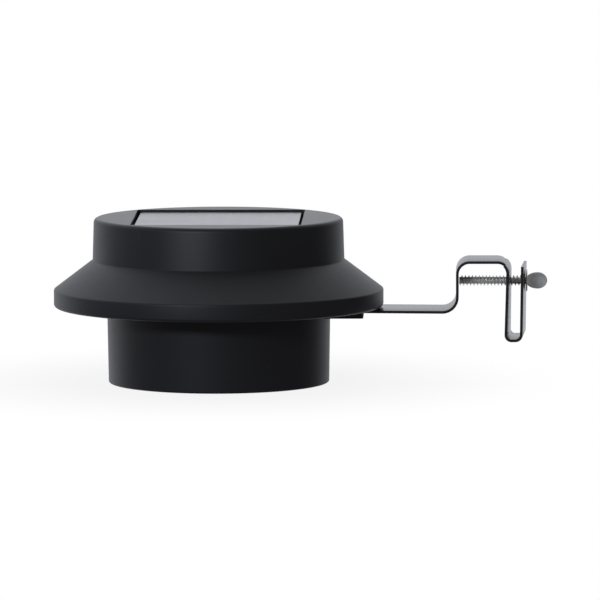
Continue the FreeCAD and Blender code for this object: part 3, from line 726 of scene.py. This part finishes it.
def make_seat():
    """Block that the strip lies against: straight on three sides, with its back an arc inside the
    cup's wall, and closed to its middle below and above."""
    back = neck_radius - wall / 2
    sweep = np.linspace(1, -1, 17) * math.asin(block_half / back)
    arc = np.stack([back * np.cos(sweep), back * np.sin(sweep)], 1)
    outline = np.concatenate([[(block_reach, -block_half), (block_reach, block_half)], arc])
    middle = np.array([(back + block_reach) / 2, 0])
    high = plate_top - wall / 2
    levels = [(0.001, seat_top), (1, seat_top), (1, high), (0.001, high)]
    return np.stack([np.column_stack([middle + (outline - middle) * share, np.full(len(outline), height)])
                     for share, height in levels])


def make_base():
    """Cup and closing plate turned in one section, with the strip's seat, the screw bosses and
    the tray's posts added, and the holes of the screws and the button cut."""
    section, _ = rounded([(rebate_radius, 0, edge_round), (foot_radius, 0, foot_round),
                          (neck_radius, plate_foot, neck_round), (neck_radius + neck_land, plate_foot),
                          (plate_radius - rim_land, plate_foot), (plate_radius, plate_foot, edge_round),
                          (plate_radius, plate_top), (rib_outer, plate_top), (rib_outer, rib_top),
                          (rib_inner, rib_top), (rib_inner, plate_top), (neck_radius - wall, plate_top),
                          (foot_radius - wall, lip_top), (lip_radius, lip_top), (lip_radius, ledge_height),
                          (rebate_radius, ledge_height)], closed=True)
    base = surface("cup_moulding", [turned(section)], along=True)
    housing, bracket = plate_screws()
    low = plate_foot + wall / 2
    bosses = [rod(boss_radius, low, plate_top + boss_rise, x, y) for _, _, x, y in housing]
    bosses += [rod(boss_radius, low, plate_top + bracket_boss_rise, x, y) for _, _, x, y in bracket]
    bosses += [rod(boss_radius, ledge_height + wall / 2, tray_height, x, y)
               for x, y in on_circle(3, tray_post_circle, 90)]
    shape(base, surface("bosses", bosses), "UNION")
    shape(base, surface("seat", [make_seat()]), "UNION")
    hole_foot, hole_top = flange_foot - 2 * MM, flange_foot + 12 * MM
    cutters = [countersunk(place, screw_gap, cutter_start) for place in housing]
    cutters.append(rod(button_radius + running_gap, hole_foot, hole_top, button_x))
    cutters += [rod(screw_shank + screw_gap, hole_foot, hole_top, x, y) for _, _, x, y in bracket]
    shape(base, surface("cutters", cutters), "DIFFERENCE")
    finish_piece(base, "lamp", "housing_plastic", ["lower_housing"])


def cross_bar(foot, x, y, aim):
    """Bar of a cross recess, which narrows from below the screw's face up into its head: a
    rectangle turned by aim at each level, closed to its middle at both ends."""
    corners = np.array([(-1, -1), (1, -1), (1, 1), (-1, 1)])
    low, high = foot - 1.0 * MM, foot + cross_depth
    bar = []
    for (long, wide), height in (((0, 0), low), (cross_foot, low), (cross_top, high), ((0, 0), high)):
        form = corners * (long, wide)
        bar.append(np.column_stack([x + form[:, 0] * math.cos(aim) - form[:, 1] * math.sin(aim),
                                    y + form[:, 0] * math.sin(aim) + form[:, 1] * math.cos(aim),
                                    np.full(4, height)]))
    return np.stack(bar)


def make_screws():
    """Countersunk screws, each with a cross recess cut by two crossed bars. Each screw has
    stopped at its own angle, 20 degrees and a share of its x."""
    housing, bracket = plate_screws()
    for name, places, node in (("housing_screw_set", housing, "housing_screws"),
                               ("bracket_screw_set", bracket, "bracket_screws")):
        screws = surface(name, [countersunk(place) for place in places])
        for quarter in (0, math.pi / 2):
            bars = [cross_bar(foot, x, y, math.radians(20) + 700 * x + quarter)
                    for foot, _, x, y in places]
            shape(screws, surface("cross_bars", bars), "DIFFERENCE")
        finish_piece(screws, "lamp", "screw_steel", [node])


def make_lens():
    """Thin disc with a bevelled rim and nine shallow ridges round its inner face: the height
    there is the top less a cosine of the radius."""
    ridged = lens_radius - lens_rim
    radius = np.linspace(ridged, 0, 181)
    wave = 1 - np.cos(radius / ridged * ridge_count * TURN)
    inner = np.stack([radius, lens_top - ridge_depth * wave / 2], 1)
    rim, _ = rounded([(0, lens_foot), (lens_radius - lens_bevel, lens_foot, 0.1 * MM),
                      (lens_radius, lens_foot + lens_bevel), (lens_radius, lens_top, 0.1 * MM),
                      (ridged + 0.1 * MM, lens_top)], steps=4)
    lens = surface("cup_lens", [turned(np.concatenate([rim, inner]))])
    finish_piece(lens, "lamp", "lens_clear", ["lens"], 50)


def make_leds():
    """Three round-nosed lights: a collar, a straight barrel and a hemisphere at the foot."""
    nose = np.linspace(0, math.pi / 2, 13)
    dome = np.stack([led_radius * np.sin(nose), led_foot + led_radius * (1 - np.cos(nose))], 1)
    collar_foot = led_top - led_collar_height
    collar = np.array([(led_radius, collar_foot), (led_collar, collar_foot),
                       (led_collar, led_top), (0, led_top)])
    section = np.concatenate([dome, collar])
    leds = surface("light_domes", [turned(section, 48, x, y) for x, y in on_circle(3, led_circle, 0)])
    finish_piece(leds, "lamp", "led_resin", ["leds"])


def make_button():
    """Push button with a rounded edge and a shallow finger dish, a collar and a stem."""
    share = np.linspace(0, 1, 12)
    face = np.stack([share * button_radius * 0.72, button_foot + button_dish * (1 - share ** 2)], 1)
    side, _ = rounded([(button_radius * 0.74, button_foot), (button_radius, button_foot, button_round),
                       (button_radius, button_shoulder), (button_collar, button_shoulder),
                       (button_collar, button_collar_top), (stem_radius, button_collar_top),
                       (stem_radius, stem_top), (0, stem_top)])
    button = surface("push_button", [turned(np.concatenate([face, side]), 64, button_x)])
    finish_piece(button, "button", "button_plastic", ["switch_button"])


# ---- strip clamp ----
def toe_along(path):
    """How far x moves for each metre of Y at a point of the path: nothing before the hook's
    middle, and after it the hook's toe, growing to the inner leg's at the U's foot and passing
    over to the outer leg's."""
    bent = np.arange(len(path)) >= len(path) // 2
    past = np.where(bent, np.clip((path[:, 0] - toe_start) / toe_run, 0, 1), 0)
    down = np.clip((hook_middle - path[:, 1]) / (hook_middle - clamp_middle), 0, 1)
    toe = hook_toe + (inner_toe - hook_toe) * down
    toe = toe + (outer_toe - toe) * np.clip((path[:, 0] - inner_leg) / (outer_leg - inner_leg), 0, 1)
    return toe * past


def make_strip():
    """A flat section with rounded edges carried along the bent path and shrunk to a point at both
    ends: path point + normal * n + Y * y. The U is out of square, so x also moves by toe * y."""
    half = strip_thickness / 2
    section, _ = rounded([(-strip_half, -half, strip_edge), (strip_half, -half, strip_edge),
                          (strip_half, half, strip_edge), (-strip_half, half, strip_edge)],
                         closed=True, steps=4)
    path, heading = rounded([(strip_start, arm_middle), (block_reach, arm_middle),
                             (leg_reach, arm_middle - arm_sag, arm_bend + half),
                             (leg_reach, hook_middle, hook_bend + half),
                             (inner_leg, hook_middle, inner_bend + half),
                             (inner_leg - inner_lean, clamp_middle, clamp_bend + half),
                             (outer_leg - outer_lean, clamp_middle, clamp_bend + half),
                             (outer_leg, clamp_end)], steps=14)
    normal = np.stack([-np.sin(heading), np.cos(heading)], 1)
    path = np.concatenate([path[:1], path[:1], path, path[-1:], path[-1:]])
    normal = np.concatenate([normal[:1], normal[:1], normal, normal[-1:], normal[-1:]])
    shrink = np.ones(len(path))
    shrink[[0, -1]] = 0
    across = section[:, 0] * shrink[:, None]
    out = section[:, 1] * shrink[:, None]
    x = path[:, :1] + normal[:, :1] * out
    z = path[:, 1:] + normal[:, 1:] * out
    x = x + across * toe_along(path)[:, None]
    strip = surface("bent_strip", [np.stack([x, across, z], -1)])
    bore = thread_radius + running_gap
    bore_start, bore_end = inner_leg - 4 * MM, outer_leg + 3 * MM
    holes = [turned_about_screw(np.array([(bore_start, 0), (bore_start, bore), (bore_end, bore),
                                          (bore_end, 0)]))]
    holes += [rod(strip_hole, arm_middle - 2 * MM, arm_middle + 2 * MM, bracket_screw_x, y)
              for y in (-bracket_screw_y, bracket_screw_y)]
    shape(strip, surface("strip_holes", holes), "DIFFERENCE")
    finish_piece(strip, "lamp", "strip_steel", ["bracket_strip"], 40)


def make_thumb_screw():
    """Threaded shaft: radius = root + depth * ridge, where ridge is a clipped triangle wave of
    x / pitch less the turn, fading at the tip and at the neck. The neck passes through the washer
    and ends in a short cone inside the paddle."""
    columns = 72
    angle = np.arange(columns) * TURN / columns
    start, end = screw_tip, washer_start - screw_gap
    x = np.linspace(start, end, 640)[:, None]
    phase = (x / thread_pitch - angle / TURN) % 1
    ridge = np.clip(1.9 * (1 - np.abs(2 * phase - 1)) - 0.9, 0, 1)
    fade = np.clip(0.3 + (x - start) / tip_chamfer, 0, 1) * np.clip((end - x) / thread_run_out, 0, 1)
    radius = thread_root + (thread_crest - thread_root) * ridge * fade
    shaft = np.stack([x + 0 * angle, radius * np.cos(angle), screw_height + radius * np.sin(angle)], -1)
    tip = turned_about_screw(np.array([(start, 0), (start, thread_root * 0.75)]), columns)
    rest, _ = rounded([(end, shaft_neck), (washer_end + 0.15 * MM, shaft_neck, 0.1 * MM),
                       (washer_end + 0.6 * MM, neck_tip), (washer_end + 0.7 * MM, 0)])
    neck = turned_about_screw(rest, columns)
    shaft_piece = surface("thumb_screw_shaft", [np.concatenate([tip, shaft, neck])])
    finish_piece(shaft_piece, "screw", "clamp_zinc", ["clamp_screw"], 40)


def make_paddle():
    """Leaf-shaped thumb plate: rings of share s of an oval that is longer towards the washer, and
    cut off square there. Its half thickness is flat in the dished field, raised on the rim and
    rounded off at the edge by sqrt(1 - t^2), where t runs from 0 to 1 over the rim's round."""
    columns = 120
    steps = 40
    angle = np.arange(columns) * TURN / columns
    share = np.concatenate([np.linspace(0, 1, steps), np.linspace(1, 0, steps)])
    side = np.concatenate([np.full(steps, -1.0), np.full(steps, 1.0)])
    rim_share = paddle_rim / paddle_right
    rim_round = rim_share * 0.7
    rise = np.clip((share - (1 - rim_share * 1.35)) / (rim_share * 0.55), 0, 1)
    over_rim = np.clip((share - (1 - rim_round)) / rim_round, 0, 1)
    edge = np.sqrt(np.clip(1 - over_rim ** 2, 0, 1))
    half = (paddle_thickness / 2 - paddle_dish * (1 - rise * rise * (3 - 2 * rise))) * edge
    reach = np.where(np.cos(angle) > 0, paddle_right, paddle_left)
    x = paddle_centre + share[:, None] * reach * np.cos(angle)
    x = np.maximum(x, washer_end + 0.1 * MM)
    z = screw_height + share[:, None] * paddle_half_height * np.sin(angle)
    y = (side * half)[:, None] + 0 * angle
    paddle = surface("thumb_paddle", [np.stack([x, y, z], -1)])
    finish_piece(paddle, "screw", "clamp_zinc", ["clamp_screw"], 40, "cast_zinc")


def make_washer():
    """Plain washer with rounded edges."""
    bore = shaft_neck + running_gap
    section, _ = rounded([(washer_start, bore, washer_bore_round),
                          (washer_start, washer_radius, washer_rim_round),
                          (washer_end, washer_radius, washer_rim_round),
                          (washer_end, bore, washer_bore_round)], closed=True, steps=4)
    washer = surface("captive_washer", [turned_about_screw(section, 96)], along=True)
    finish_piece(washer, "washer", "clamp_zinc", ["screw_washer"], 40)


# ---- floor and background ----
def make_floor():
    """Pale floor disc. To a camera above it is white with the object's shadow near the foot; from
    beneath, and to any other ray, it is clear, so that the backdrop shows in metal and glass."""
    drop = 0.2 * MM
    shadow_reach, shadow_fade, shadow_share = 0.04, 0.09, 0.12
    angle = np.arange(96) * TURN / 96
    floor = surface("floor", [rings(angle, [(radius, -drop) for radius in (0.0, 0.3, 4.0)])])
    if floor.data.polygons[0].normal.z < 0:
        floor.data.flip_normals()
    f = Finish("pale_floor", Roughness=0.9)
    x, y, _ = f.axes()
    near = 1 - (x * x + y * y).math("SQRT").over(shadow_reach, shadow_fade)
    mottle = f.noise(14, 3)
    f.paint(Base_Color=f.mix(mottle, (0.78, 0.78, 0.78), (0.82, 0.82, 0.82)))
    ray = f.node("ShaderNodeLightPath", output="Is Camera Ray")
    white = f.node("ShaderNodeEmission", sockets={"Color": (1, 1, 1), "Strength": 1.0})
    clear = f.node("ShaderNodeBsdfTransparent")
    under = f.node("ShaderNodeNewGeometry", output="Backfacing")
    lit = Value(f, f.shader.outputs[0])
    shown = f.node("ShaderNodeMixShader", sockets={0: 1 - near * shadow_share, 1: lit, 2: white})
    both = f.node("ShaderNodeMixShader", sockets={0: ray * (1 - under), 1: clear, 2: shown})
    f.tree.links.new(both.socket, f.tree.nodes["Material Output"].inputs[0])
    floor.data.materials.append(f.material)


def make_world():
    """White to the camera and through clear parts. Reflections see a white backdrop behind the
    object, a softer sky above it and a dim room in front, and the diffuse light is even."""
    world = bpy.data.worlds.new("studio")
    world.use_nodes = True
    bpy.context.scene.world = world
    f = Finish("studio", tree=world.node_tree)
    room, sky_light, even = 0.07, 0.45, 0.3
    direction = f.node("ShaderNodeTexCoord", output="Generated")
    right = f.node("ShaderNodeSeparateXYZ", sockets={0: direction})
    behind = right.output(1) - right * 0.2
    backdrop = behind.over(0.3, 0.65)
    sky = right.output(2).over(0.25, 0.45) * behind.over(-0.3, 0.8)
    camera = f.node("ShaderNodeLightPath", output="Is Camera Ray")
    glossy = camera.output("Is Glossy Ray")
    seen = camera + camera.output("Is Transmission Ray")
    mirrored = (room + backdrop * (1 - room) + sky * sky_light).math("MINIMUM", 1.0)
    plain = even + seen.math("MINIMUM", 1.0) * (1 - even)
    strength = plain + glossy * (mirrored - plain) * (1 - camera)
    background = world.node_tree.nodes["Background"]
    f.feed(background.inputs["Color"], f.mix(glossy, (1, 1, 1), (0.92, 0.94, 1.0)))
    f.feed(background.inputs["Strength"], strength)


make_camera()
make_lamps()
make_world()
make_floor()
finishes = make_finishes()
slots = {part["node"]: part["material_slot"] for part in frame["record"]["subparts"]}
for node, piece in frame["nodes"].items():
    piece.data.materials.clear()
    piece.data.materials.append(finishes[slots[node]])
make_cap()
make_panel()
make_base()
make_screws()
make_lens()
make_leds()
make_button()
make_strip()
make_thumb_screw()
make_paddle()
make_washer()

bpy.context.scene.view_settings.view_transform = "Standard"
